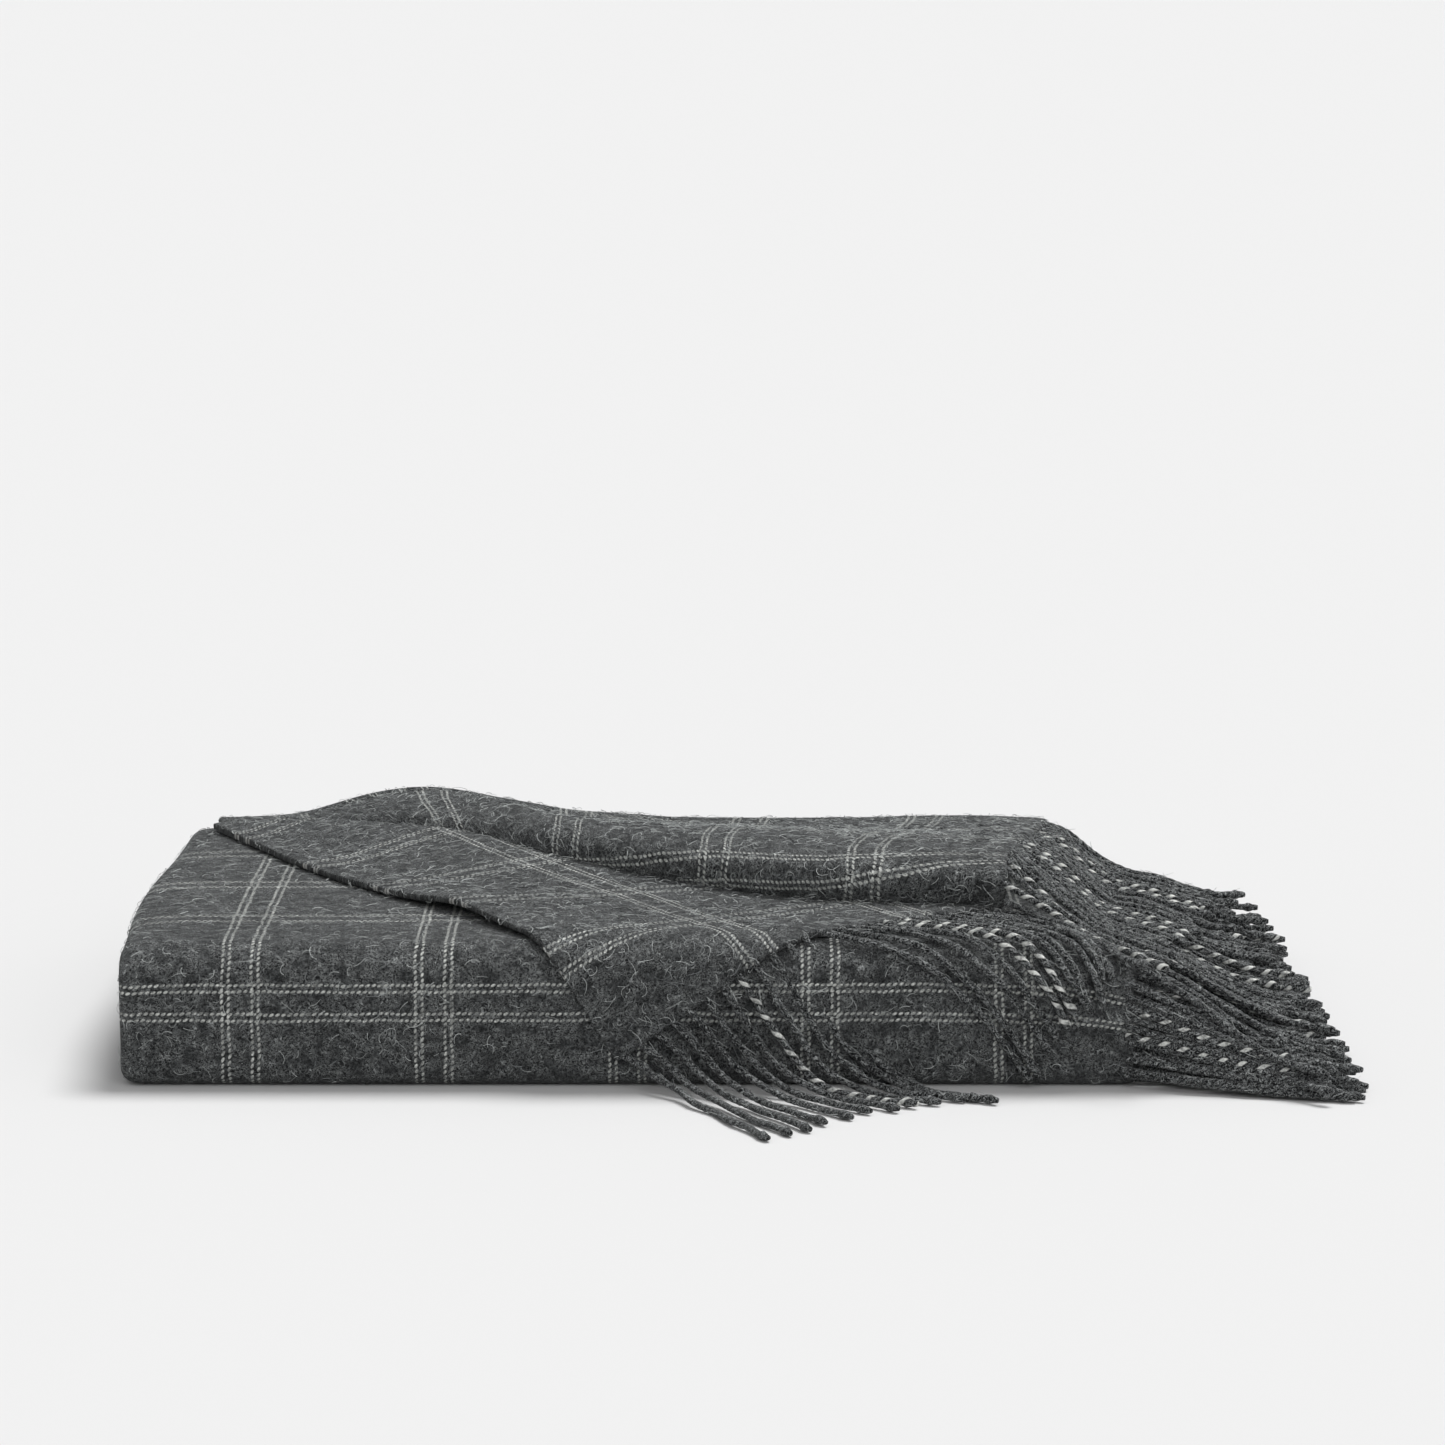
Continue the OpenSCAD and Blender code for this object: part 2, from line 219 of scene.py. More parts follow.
def wool(name, striped=True, dark=1.0, plain_until=None):
    """Brushed wool; plain_until leaves the warp stripes out beside a selvedge, and the rim has bands only.
    dark below 1 scales the whole colour down as painted shade, which the cut edges get.
    """
    g = Graph(name)
    uv = g.uv()
    along, across, _ = g.split(uv)
    speck = g.noise(uv, 1500.0, 3.0, 0.7)
    grit = g.noise(g.shift(uv, (3, 1, 0)), 560.0, 3.0, 0.65, 0.8)
    cloud = g.noise(uv, 22.0, 3.0, 0.55)
    tuft = g.noise(g.shift(uv, (6, 2, 0)), 210.0, 2.5, 0.6, 2.5)
    fibre = g.math("MAXIMUM", g.curls(uv, 150.0, (0, 0, 0), 0.024, 2.4),
                   g.curls(uv, 240.0, (7, 3, 0), 0.030, 2.2))
    fibre = g.math("MAXIMUM", fibre, g.curls(uv, 400.0, (2, 9, 0), 0.040, 1.8))
    patch = g.span(g.noise(g.shift(uv, (5, 5, 0)), 140.0, 2.0), 0.34, 0.62, 0.10, 1.0)
    fibre = g.math("MULTIPLY", fibre, patch)
    col = g.mix(g.span(speck, 0.34, 0.66), DARK, MID)
    col = g.mix(g.math("MULTIPLY", g.span(grit, 0.46, 0.72), 0.7), col, PALE)
    col = g.mix(g.math("MULTIPLY", g.span(grit, 0.50, 0.32), 0.8), col, DARK)
    col = g.mix(g.math("MULTIPLY", fibre, 0.95), col, FIBRE)
    weave = g.math("ADD", g.math("MULTIPLY", fibre, 0.8), g.math("MULTIPLY", grit, 0.6))
    weave = g.math("ADD", weave, g.math("MULTIPLY", tuft, 0.6))
    if not striped:
        col = g.mix(rim_band(g, across), col, RIM_CREAM)
    else:
        wobble = g.math("MULTIPLY", g.math("SUBTRACT", g.noise(uv, 75.0, 2.0), 0.5), 0.0020)
        u = g.math("ADD", along, wobble)
        v = g.math("ADD", across, wobble)
        lengthwise = grain_rows(g, u, v)
        if plain_until is not None:
            lengthwise = g.math("MULTIPLY", lengthwise, g.math("GREATER_THAN", along, plain_until))
        mask = g.math("MAXIMUM", lengthwise, grain_rows(g, v, u))
        broken = g.span(g.noise(g.shift(uv, (1, 4, 0)), 520.0, 2.5), 0.30, 0.56, 0.28, 1.0)
        mask = g.math("MULTIPLY", mask, broken)
        mask = g.math("MULTIPLY", mask, g.math("SUBTRACT", 1.0, g.math("MULTIPLY", fibre, 0.25)))
        col = g.mix(g.math("MULTIPLY", mask, 0.92), col, CREAM)
        weave = g.math("ADD", weave, g.math("MULTIPLY", mask, 0.15))
    # cloud and tuft vary the tone at random; dark multiplies in painted shade (0.55 on the cut edges)
    shade = g.span(cloud, 0.25, 0.75, 0.86 * dark, 1.14 * dark)
    shade = g.math("MULTIPLY", shade, g.span(tuft, 0.36, 0.66, 0.84, 1.14))
    shaded = g.nt.nodes.new("ShaderNodeHueSaturation")
    g.put(shaded.inputs["Value"], shade)
    g.put(shaded.inputs["Color"], col)
    g.nt.links.new(shaded.outputs[0], g.bsdf.inputs["Base Color"])
    g.bump(weave, 1.0, 0.0016)
    g.soft(0.22, SHEEN_TINT)
    return g.mat


TWIST = 0.0088  # length of one full turn of the two plies


def yarn(name, white=False):
    """Two-ply twisted yarn, with painted shade in the groove between the plies. U is the length along the
    strand, V the share of the way round it.
    """
    g = Graph(name)
    length, way_round, _ = g.split(g.uv())
    obj = g.nt.nodes.new("ShaderNodeTexCoord").outputs["Object"]
    turn = g.math("SUBTRACT", way_round, g.math("DIVIDE", length, TWIST))
    wave = g.math("COSINE", g.math("MULTIPLY", turn, 2 * math.pi))
    crease = g.span(g.math("ABSOLUTE", wave), 0.05, 0.5)
    hairs = g.math("MAXIMUM", g.curls(obj, 420.0, (0, 0, 0), 0.035, 1.8),
                   g.curls(obj, 260.0, (4, 0, 2), 0.028, 2.0))
    speck = g.noise(obj, 700.0, 2.0, 0.6)
    col = g.mix(g.span(speck, 0.40, 0.72), DARK, MID)
    col = g.mix(g.math("MULTIPLY", g.span(speck, 0.54, 0.76), 0.25), col, PALE)
    col = g.mix(g.math("MULTIPLY", hairs, 0.9), col, FIBRE)
    if white:
        ply = g.span(wave, 0.45, 0.72)
        rough = g.span(g.noise(obj, 420.0, 2.0), 0.30, 0.52, 0.25, 1.0)
        rough = g.math("MULTIPLY", rough, g.math("SUBTRACT", 1.0, g.math("MULTIPLY", hairs, 0.5)))
        col = g.mix(g.math("MULTIPLY", g.math("MULTIPLY", ply, rough), 0.95), col, LIGHT_PLY)
    # painted shade: the groove between the plies, where crease falls towards 0, is darkened towards the
    # groove colour
    col = g.mix(g.math("MULTIPLY", g.math("SUBTRACT", 1.0, crease), 0.75), col, YARN_GROOVE_PAINTED_SHADE)
    g.nt.links.new(col, g.bsdf.inputs["Base Color"])
    g.bump(g.math("ADD", g.math("MULTIPLY", hairs, 0.8), speck), 0.7, 0.0006)
    g.soft(0.3, SHEEN_TINT)
    return g.mat


def nap(name, colour):
    """One shade of the loose fibres that stand proud of the brushed cloth and the yarn."""
    g = Graph(name)
    g.bsdf.inputs["Base Color"].default_value = colour
    g.soft(0.2, (0.8, 0.8, 0.8, 1))
    return g.mat


SELVEDGE_PLAIN = -0.068  # cloth coordinate up to which the selvedge has no lengthwise stripe
WOOL = wool("brushed_wool")
WOOL_TOP = wool("brushed_wool_top", plain_until=SELVEDGE_PLAIN)
# cut edges of every ply: colour painted darker by 0.55, painted shade for the narrow gaps between the plies
EDGE = wool("wool_edge_painted_shade", striped=False, dark=0.55)
YARN = yarn("twisted_yarn")
YARN_WHITE = yarn("twisted_yarn_light", white=True)
NAP = [nap("nap_pale", (0.68, 0.71, 0.70, 1)), nap("nap_grey", (0.30, 0.315, 0.32, 1)),
       nap("nap_dark", (0.030, 0.032, 0.034, 1))]

# ------------------------------------------------------------------ floor
FLOOR_SEEN = (0.785, 0.785, 0.785, 1)
FLOOR_BOUNCE = (0.50, 0.50, 0.50, 1)  # what the floor gives back to the scene, so that shadows stay deep
FLOOR_Z = -0.0003
floor_graph = Graph("studio_floor")
light_path = floor_graph.nt.nodes.new("ShaderNodeLightPath")
floor_graph.nt.links.new(floor_graph.mix(light_path.outputs["Is Camera Ray"], FLOOR_BOUNCE, FLOOR_SEEN),
                         floor_graph.bsdf.inputs["Base Color"])
floor_graph.bsdf.inputs["Roughness"].default_value = 1.0
floor_graph.bsdf.inputs["Specular IOR Level"].default_value = 0.0
floor_mesh = bpy.data.meshes.new("floor")
floor_mesh.from_pydata([(x, y, FLOOR_Z) for x, y in ((-80, -80), (80, -80), (80, 120), (-80, 120))],
                       [], [(0, 1, 2, 3)])
floor_mesh.materials.append(floor_graph.mat)
floor = bpy.data.objects.new("floor", floor_mesh)
bpy.context.scene.collection.objects.link(floor)

# ------------------------------------------------------------------ shared shape
LENGTH, DEPTH, HEIGHT = 0.444, 0.317, 0.063
RIGHT, FRONT, BACK = LENGTH / 2, -DEPTH / 2, DEPTH / 2
PITCH = HEIGHT / 16
R_TOP, R_BOTTOM = 0.018, 0.008
CLOTH = 0.0034
stack_random = random.Random(7)


def step(a, b, x):
    """0 below a, 1 above b, smooth between."""
    t = min(1.0, max(0.0, (x - a) / (b - a)))
    return t * t * (3 - 2 * t)


def settle(p, give=1.0):
    """How the soft stack sinks: it rounds off at both ends, most at the fringed one, with faint swells."""
    x, y, z = p
    base = min(z, HEIGHT)
    back = (y - FRONT) / DEPTH
    lift = step(0.0, 0.02, z)
    near_right = step(0.120, 0.222, x)
    right = (0.13 + 0.20 * max(0.0, back)) * step(0.190, 0.229, x) + 0.045 * near_right
    left = 0.03 * step(0.196, 0.224, -x)
    plump = math.exp(-((y + 0.02) / 0.085) ** 2) * step(0.012, 0.045, z)
    z -= base * (right + left) * give
    swell = noise.noise(Vector((x * 7.0, y * 7.0, 1.7)))
    z += 0.0011 * swell * base / HEIGHT * (1 - near_right)
    near = step(0.10, 0.1585, -y)
    y += 0.0011 * noise.noise(Vector((x * 9.0, z * 26.0, 4.1))) * near * lift
    x += 0.0010 * noise.noise(Vector((y * 12.0, z * 40.0, 8.3))) * step(0.19, 0.222, abs(x))
    x -= (0.0005 + 0.0055 * plump) * step(0.170, 0.222, -x)
    return Vector((x, y, z))


def mesh_object(name, verts, faces, uvs, mats, slots=None):
    """A smooth mesh with one UV pair for each face corner and, with slots, a material for each face."""
    me = bpy.data.meshes.new(name)
    me.from_pydata([tuple(v) for v in verts], [], faces)
    layer = me.uv_layers.new(name="UVMap")
    flat = []
    for corner in uvs:
        flat.extend(corner)
    layer.data.foreach_set("uv", flat)
    for m in mats:
        me.materials.append(m)
    if slots:
        me.polygons.foreach_set("material_index", slots)
    me.polygons.foreach_set("use_smooth", [True] * len(me.polygons))
    ob = bpy.data.objects.new(name, me)
    bpy.context.scene.collection.objects.link(ob)
    return ob


def grid_object(name, pts, uv, mats, seam=None, jump=None):
    """pts and uv are equal grids of points and cloth coordinates; past column seam, U jumps by jump[row]."""
    rows, cols = len(pts), len(pts[0])
    verts = [p for row in pts for p in row]
    faces, uvs = [], []
    for j in range(rows - 1):
        for i in range(cols - 1):
            past = seam is not None and i >= seam
            quad = ((j, i), (j, i + 1), (j + 1, i + 1), (j + 1, i))
            faces.append([a * cols + b for a, b in quad])
            uvs.extend((uv[a][b][0] + (jump[a] if past else 0.0), uv[a][b][1]) for a, b in quad)
    return mesh_object(name, verts, faces, uvs, mats)


def thicken(ob, thickness, levels):
    """Real cloth thickness with soft rounded edges, applied to the mesh."""
    s = ob.modifiers.new("thickness", "SOLIDIFY")
    s.thickness = thickness
    s.offset = 0
    s.use_even_offset = True
    s.material_offset_rim = 1
    if levels:
        d = ob.modifiers.new("smooth", "SUBSURF")
        d.levels = levels
        d.render_levels = levels
    dg = bpy.context.evaluated_depsgraph_get()
    me = bpy.data.meshes.new_from_object(ob.evaluated_get(dg))
    ob.modifiers.clear()
    old = ob.data
    ob.data = me
    bpy.data.meshes.remove(old)
    me.name = ob.name


# ------------------------------------------------------------------ folded stack
UNDER_STEPS, BOTTOM_STEPS, FACE_STEPS, CREASE_STEPS, TOP_STEPS = 20, 5, 8, 9, 24
TIGHT_TOP, TIGHT_BOTTOM = 0.0024, 0.0018  # smallest radii of the inner plies


def section(d, back_cut):
    """U-shaped section at depth d in the stack, as (y, z): from the back underneath to the back on top."""
    yf, zt, zb = FRONT + d, HEIGHT - d, d
    tall = zt - zb
    rt = min(max(R_TOP - d, TIGHT_TOP), tall * 0.49)
    rb = min(max(R_BOTTOM - d, TIGHT_BOTTOM), tall * 0.49)
    out = []
    for i in range(UNDER_STEPS):
        t = i / UNDER_STEPS
        out.append((BACK - back_cut + (yf + rb - BACK + back_cut) * t, zb))
    for i in range(BOTTOM_STEPS):
        a = math.pi / 2 * i / BOTTOM_STEPS
        out.append((yf + rb - rb * math.sin(a), zb + rb - rb * math.cos(a)))
    for i in range(FACE_STEPS):
        out.append((yf, zb + rb + (zt - rt - zb - rb) * i / FACE_STEPS))
    for i in range(CREASE_STEPS):
        a = math.pi / 2 * i / CREASE_STEPS
        out.append((yf + rt - rt * math.cos(a), zt - rt + rt * math.sin(a)))
    for i in range(TOP_STEPS + 1):
        out.append((yf + rt + (BACK - back_cut - yf - rt) * i / TOP_STEPS, zt))
    return out


def arc_length(profile):
    """Length along a profile at each of its points."""
    w = [0.0]
    for a, b in zip(profile, profile[1:]):
        w.append(w[-1] + math.dist(a, b))
    return w


STRIPE_Z = 0.0375  # height on the front face where a lengthwise stripe pair is centred
OUTER_SKIN = 0.0004
skin = section(OUTER_SKIN, 0.0)
skin_lengths = arc_length(skin)
above = next(i for i, (y, z) in enumerate(skin) if z > STRIPE_Z and y < FRONT + 0.004)
zero = skin_lengths[above] - (skin[above][1] - STRIPE_Z)
cloth_width = [w - zero for w in skin_lengths]
RUN_STEPS, TURN_STEPS = 36, 9


def bundle(name, order):
    """One length of cloth folded in four: order is the plies it runs through, from fringe to fringe."""
    mid = [(k + 0.5) * PITCH for k in order]
    ends = {k: RIGHT - stack_random.uniform(0.0, 0.0035) for k in order}
    turn = -RIGHT + (max(mid) - min(mid)) / 2 + CLOTH / 2
    xs = []
    for n, d in enumerate(mid):
        first, last = n == 0, n == 3
        right = ends[order[n]] if first or last else RIGHT - PITCH / 2 - CLOTH / 2 - 0.001
        a, b = (right, turn) if n % 2 == 0 else (turn, right)
        for i in range(RUN_STEPS + 1):
            xs.append((a + (b - a) * i / RUN_STEPS, d))
        if not last:
            e = mid[n + 1]
            c, r = (d + e) / 2, abs(e - d) / 2
            sign = -1 if n % 2 == 0 else 1
            for i in range(1, TURN_STEPS):
                t = math.pi * i / TURN_STEPS
                xs.append((b + sign * r * math.sin(t), c + (d - c) * math.cos(t)))
    pts, uv = [], []
    length = 0.0
    for i, (x, d) in enumerate(xs):
        stack_random.random()  # passed over: the second cloth's ends depend on it
        if i:
            length += math.dist(xs[i - 1], xs[i])
        cut = 0.0022 + 0.0018 * math.sin(d * 2600.0) + 0.0010 * noise.noise(Vector((x * 14, d * 900, 2.2)))
        pts.append([settle((x, y, z)) for y, z in section(d, cut)])
        uv.append([(-0.0015 + xs[0][0] - length + 0.003, w) for w in cloth_width])
    ob = grid_object(name, pts, uv, [WOOL, EDGE])
    thicken(ob, CLOTH, 1 if order[0] == 0 else 0)
    return ob


outer = bundle("cloth_outer_folds", (0, 3, 2, 1))
inner = bundle("cloth_inner_folds", (7, 4, 5, 6))


# ------------------------------------------------------------------ loose top layer
# Each table gives a value in mm at distances in mm from the fringed edge. X is along the stack. S is Y on
# the top of the stack, and goes on round the crease and down the front face by the length of the cloth.
# FOOT is where the roll starts, RISE the run from there to its crest, OVERHANG how far its front leans,
# DIP the sag behind the crest, BACK the end at the back edge, and TUCK the cloth hidden under the roll.
MM = 0.001
SELVEDGE_X = ((0, -6), (56, -33), (82, -48.5), (140, -78.5), (224, -116), (308, -153), (392, -191.5),
              (425, -209))
SELVEDGE_S = ((0, -206.5), (56, -163), (82, -139.5), (140, -88), (224, -38), (308, 22), (392, 101.5),
              (425, 140))
FOOT_X = ((0, 166), (56, 102), (140, 36), (224, -32), (308, -86), (392, -165), (425, -206))
FOOT_S = ((0, -83.5), (56, -74.5), (140, -44), (224, 6), (308, 62), (392, 128), (425, 144))
FOOT_LIFT = ((0, 0), (56, 0), (140, 1.5), (224, 6), (308, 10), (392, 4), (425, 0))
BACK_X = ((0, 200), (56, 140), (140, 54), (224, -32), (308, -112), (392, -176), (425, -208))
RISE = ((0, 15), (56, 15), (140, 17), (224, 24), (308, 56), (392, 14), (425, 2))
CREST_Z = ((0, 85), (56, 86), (140, 86), (224, 86), (308, 85.5), (392, 68), (425, 66))
BACK_Z = ((0, 67), (56, 66), (140, 66.2), (224, 69.5), (308, 81), (392, 66.5), (425, 65.8))
DIP = ((0, 0), (140, 0), (224, 3), (308, 6), (392, 0), (425, 0))
TUCK = ((0, 0), (56, 65), (140, 112), (224, 158), (308, 178), (392, 225), (425, 255))
OVERHANG = ((0, 9), (56, 9), (140, 9), (224, 5), (308, 0), (425, 0))
SHEET_OFF = 0.0009 + CLOTH / 2


def curve(table, v):
    """Smooth curve through a table, in metres."""
    v /= MM
    i = 0
    while i < len(table) - 2 and v >= table[i + 1][0]:
        i += 1

    def slope(k):
        a, b = max(k - 1, 0), min(k + 1, len(table) - 1)
        return (table[b][1] - table[a][1]) / (table[b][0] - table[a][0])

    h = table[i + 1][0] - table[i][0]
    w = (v - table[i][0]) / h
    return MM * (table[i][1] * (2 * w ** 3 - 3 * w * w + 1) + h * slope(i) * (w ** 3 - 2 * w * w + w)
                 + table[i + 1][1] * (3 * w * w - 2 * w ** 3) + h * slope(i + 1) * (w ** 3 - w * w))


def wrap(x, s, off):
    """A point lying on the stack at distance off: over the top, round the front crease, down the front."""
    ts = FRONT + R_TOP
    if s >= ts:
        return Vector((x, s, HEIGHT + off))
    r = R_TOP + off
    a = (ts - s) / (R_TOP + SHEET_OFF)
    if a <= math.pi / 2:
        return Vector((x, ts - r * math.sin(a), HEIGHT - R_TOP + r * math.cos(a)))
    return Vector((x, FRONT - off, HEIGHT - R_TOP - (a - math.pi / 2) * (R_TOP + SHEET_OFF)))


BACK_STOP = BACK - 0.003  # where the loose layer turns down at the back


def flap(v, a):
    """The flat part in front of the roll: a runs from the selvedge to the foot of the roll."""
    x = curve(SELVEDGE_X, v) * (1 - a) + curve(FOOT_X, v) * a
    s = curve(SELVEDGE_S, v) * (1 - a) + curve(FOOT_S, v) * a
    puff = 0.003 * math.exp(-((v - 0.150) / 0.035) ** 2) * (1 - a) ** 2
    return wrap(x, s, SHEET_OFF + curve(FOOT_LIFT, v) * step(0.15, 1.0, a) + puff)


def rise(v, q):
    """The roll's front, from its foot to its crest."""
    w = curve(RISE, v)
    z0 = HEIGHT + SHEET_OFF + curve(FOOT_LIFT, v)
    x0, y0 = curve(FOOT_X, v), curve(FOOT_S, v)
    slide = (curve(BACK_X, v) - x0) * w / (BACK_STOP - y0)
    lean = curve(OVERHANG, v) * math.sin(math.pi * q)
    return Vector((x0 + slide * q, y0 + w * (0.12 * q + 0.88 * q * q) - lean,
                   z0 + (curve(CREST_Z, v) - z0) * math.sin(math.pi / 2 * q)))


def rear(v, q):
    """From the crest of the roll towards the back edge."""
    c = rise(v, 1)
    y1 = BACK_STOP - 0.008 * min(1.0, (BACK_STOP - c.y) / 0.060)
    sag = curve(DIP, v) * math.sin(math.pi * q)
    return Vector((c.x + (curve(BACK_X, v) - c.x) * q, c.y + (y1 - c.y) * q,
                   c.z + (curve(BACK_Z, v) - c.z) * (q * q * (3 - 2 * q)) - sag))


def drop(v, q):
    """The turn down onto the stack at the back edge."""
    c = rear(v, 1)
    z0 = HEIGHT + SHEET_OFF
    a = math.pi / 2 * q
    return Vector((c.x, c.y + (BACK_STOP - c.y) * math.sin(a), z0 + (c.z - z0) * math.cos(a)))


def ripple(p, v, u):
    """Faint handling waves in the loose cloth."""
    n = noise.noise(Vector((u * 11.0, v * 11.0, 5.5)))
    m = noise.noise(Vector((u * 26.0, v * 26.0, 9.5)))
    up = step(0.045, 0.066, p.z)
    amount = (0.0014 * n + 0.0005 * m) * up * step(0.0, 0.03, v + 0.01)
    return Vector((p.x, p.y, p.z + max(amount, -0.0005)))


FLAP_N, RISE_N, REAR_N, DROP_N = 48, 12, 26, 4


def sheet_line(v):
    """One line of the loose layer, from selvedge to back, and its cloth length at each point."""
    pts = [flap(v, i / FLAP_N) for i in range(FLAP_N + 1)]
    pts += [rise(v, i / RISE_N) for i in range(1, RISE_N + 1)]
    pts += [rear(v, i / REAR_N) for i in range(1, REAR_N + 1)]
    pts += [drop(v, i / DROP_N) for i in range(1, DROP_N + 1)]
    u = [0.0]
    for a, b in zip(pts, pts[1:]):
        u.append(u[-1] + (b - a).length)
    return pts, u


V_END = 0.425
V_LINES = 130
SHEET_GIVE = 0.3
EDGE_U, EDGE_V = -0.0785, -0.056  # cloth coordinates of the corner between selvedge and fringe
v_lines = [V_END * j / V_LINES for j in range(V_LINES + 1)]
top_pts, top_uv = [], []
for v in v_lines:
    pts, cloth = sheet_line(v)
    top_pts.append([settle(ripple(p, v, c), SHEET_GIVE) for p, c in zip(pts, cloth)])
    top_uv.append([(c + EDGE_U, v + EDGE_V) for c in cloth])
top = grid_object("cloth_top_layer", top_pts, top_uv, [WOOL_TOP, EDGE], FLAP_N,
                  [curve(TUCK, v) for v in v_lines])
thicken(top, CLOTH, 1)


# ------------------------------------------------------------------ fringe
def smooth_path(points, n):
    """n points along a smooth curve through the given ones."""
    p = [points[0] * 2 - points[1]] + points + [points[-1] * 2 - points[-2]]
    out = []
    spans = len(points) - 1
    for i in range(n):
        t = spans * i / (n - 1)
        k = min(int(t), spans - 1)
        t -= k
        a, b, c, d = p[k:k + 4]
        out.append(0.5 * (2 * b + (c - a) * t + (2 * a - 5 * b + 4 * c - d) * t * t
                          + (3 * b - a - 3 * c + d) * t ** 3))
    return out


SIDES = 8
centre_lines = {}


def strand_mesh(store, points, radius, seed, white, rings=76):
    """Adds one twisted strand, with a knot near its cut end, to a store of verts, faces, uvs and slots."""
    verts, faces, uvs, slots = store
    r = random.Random(seed)
    pts = smooth_path([Vector(p) for p in points], rings)
    kink = Vector((r.uniform(0, 9), r.uniform(0, 9), r.uniform(0, 9)))
    length = [0.0]
    for a, b in zip(pts, pts[1:]):
        length.append(length[-1] + (b - a).length)
    total = length[-1]
    for i, p in enumerate(pts):
        sway = 0.0017 * step(0.0, 0.02, length[i])
        q = Vector((length[i] * 52.0, 0, 0)) + kink
        pts[i] = p + sway * Vector((noise.noise(q), noise.noise(q + Vector((0, 7, 0))),
                                    0.5 * noise.noise(q + Vector((0, 0, 7)))))
    centre_lines.setdefault(id(store), []).append(pts)
    base = len(verts)
    up = Vector((0.13, 0.21, 1.0))
    spin = r.uniform(0, 2 * math.pi)
    for i, p in enumerate(pts):
        t = (pts[min(i + 1, rings - 1)] - pts[max(i - 1, 0)]).normalized()
        side = t.cross(up).normalized()
        nor = side.cross(t)
        left = total - length[i]
        knot = math.exp(-((left - 0.0050) / 0.0019) ** 2)
        cut = step(0.0, 0.0016, left)
        fat = radius * (1 + 0.50 * knot) * (0.72 + 0.28 * cut) * (1 + 0.06 * noise.noise(kink + 90 * p))
        lay = 2 * math.pi * length[i] / TWIST
        for k in range(SIDES):
            a = 2 * math.pi * k / SIDES
            lobe = 0.80 + 0.20 * abs(math.cos(a - lay))
            q = p + fat * lobe * (side * math.cos(a + spin) + nor * math.sin(a + spin))
            q.z = max(q.z, 0.0002)
            verts.append(q)
    for i in range(rings - 1):
        for k in range(SIDES):
            m = (k + 1) % SIDES
            a, b = base + i * SIDES, base + (i + 1) * SIDES
            faces.append((a + k, a + m, b + m, b + k))
            u0, u1 = length[i], length[i + 1]
            w0, w1 = k / SIDES, (k + 1) / SIDES
            uvs.extend(((u0, w0), (u0, w1), (u1, w1), (u1, w0)))
            slots.append(1 if white else 0)
    for ring, order in ((0, -1), (rings - 1, 1)):
        ids = [base + ring * SIDES + k for k in range(SIDES)][::order]
        faces.append(ids)
        uvs.extend((length[ring], 0.5) for _ in ids)
        slots.append(1 if white else 0)


fringe_lines = {}


def fringe_object(name, store):
    """Makes the stored strands one object, and keeps their centre lines for the loose fibres."""
    verts, faces, uvs, slots = store
    fringe_lines[name] = centre_lines.pop(id(store))
    return mesh_object(name, verts, faces, uvs, [YARN, YARN_WHITE], slots)


def is_white(cloth):
    """True where a lengthwise stripe pair runs out into the fringe."""
    t = (cloth + CHECK / 2) % CHECK - CHECK / 2
    return cloth > SELVEDGE_PLAIN and abs(abs(t) - HALF_PAIR) < 0.0046


# right-hand end: one row for each fringed layer
LAYERS = ((0, 0), (1, 0), (6, 0), (7, 0), (7, 1), (6, 1), (1, 1), (0, 1))  # (ply, upper side)
PER_ROW = 33
REACH = 0.091
STRAND = 0.00165  # radius
WALL = ((0, 12, 0.0055), (1, 9, 0.009))  # strands from the front crease: (depth in plies, count, lowest root)


def row_rest(j, back):
    """Height at which the tips of row j come to lie on the rows below."""
    return 0.0019 + 0.0034 * j * (0.38 + 0.66 * back)


def end_top(x, y):
    """Top of the stack and, beyond its end, of the fringe rows that fan out from it."""
    edge = settle((min(x, RIGHT), y, HEIGHT)).z
    back = min(1.0, max(0.0, (y - FRONT) / DEPTH))
    rest = row_rest(7, back) + STRAND
    return edge - (edge - rest) * step(0.0, 1.0, (x - RIGHT) / REACH)


def cream(cloth, r):
    """At the fringed end the stripe yarns are shared out, so only some strands show them."""
    return is_white(max(cloth, SELVEDGE_PLAIN + 0.001)) and r.random() < 0.6


